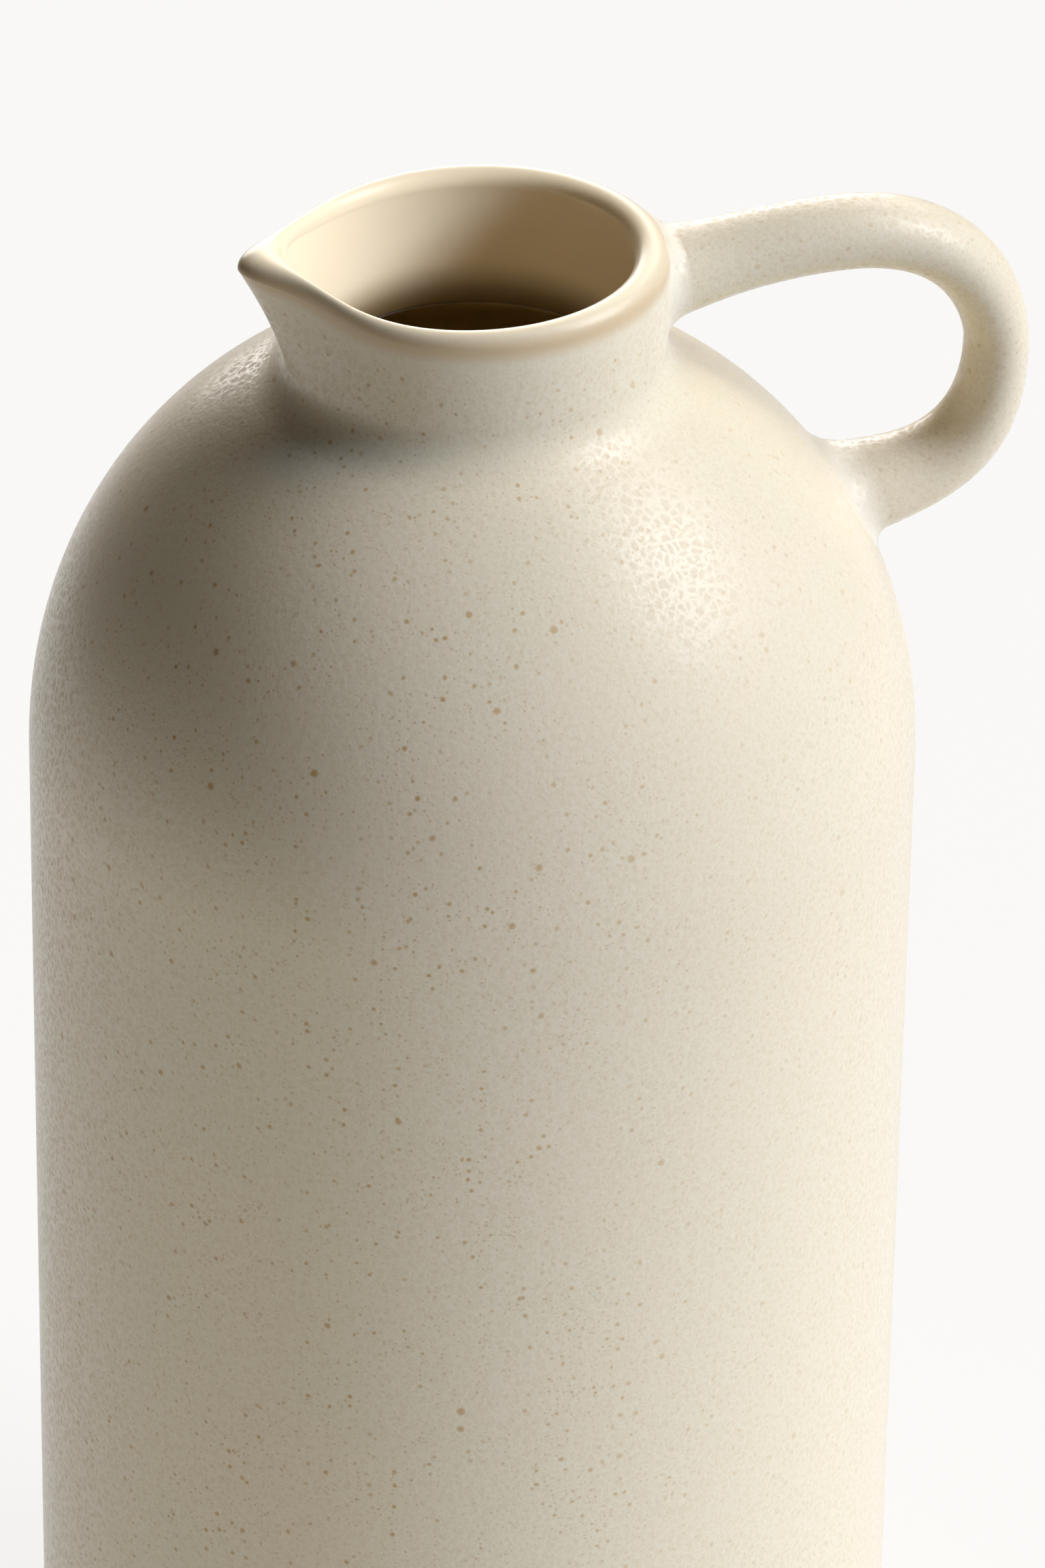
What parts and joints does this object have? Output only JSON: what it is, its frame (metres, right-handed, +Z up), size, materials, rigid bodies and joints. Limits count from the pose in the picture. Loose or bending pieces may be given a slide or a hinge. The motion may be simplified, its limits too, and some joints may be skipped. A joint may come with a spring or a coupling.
{
  "type": "jug vase",
  "caption": "Straight-sided stoneware jug vase with a domed shoulder, a short neck pinched into a pouring lip, and an arched strap handle.",
  "frame": {"origin": "on the body's axis, at the underside of the foot ring, which is the face that the vase rests on", "axes": "+Z up along the body's axis, +X towards the handle, so the pouring lip points along -X; the XZ plane is the plane of symmetry"},
  "size_m": [0.1703, 0.15, 0.3018],
  "materials": {
    "cream_glaze": "satin-matte cream glaze with a fine eggshell surface, small brown iron specks and pinholes",
    "neck_glaze": "the same cream glaze, thinner and glossier over the lip so that the tan clay shows through, with the glossy liner inside",
    "liner_glaze": "smooth glossy warm tan liner glaze",
    "bare_clay": "unglazed buff stoneware, matt and slightly gritty"
  },
  "bodies": {
    "root": {"foot_ring": "bare_clay", "base": "cream_glaze", "body_wall": "cream_glaze", "shoulder": "cream_glaze", "neck": "neck_glaze", "neck_joint": "cream_glaze", "handle": "cream_glaze", "handle_top_joint": "cream_glaze", "handle_bottom_joint": "cream_glaze", "liner_glaze": "liner_glaze"}
  },
  "joints": []
}
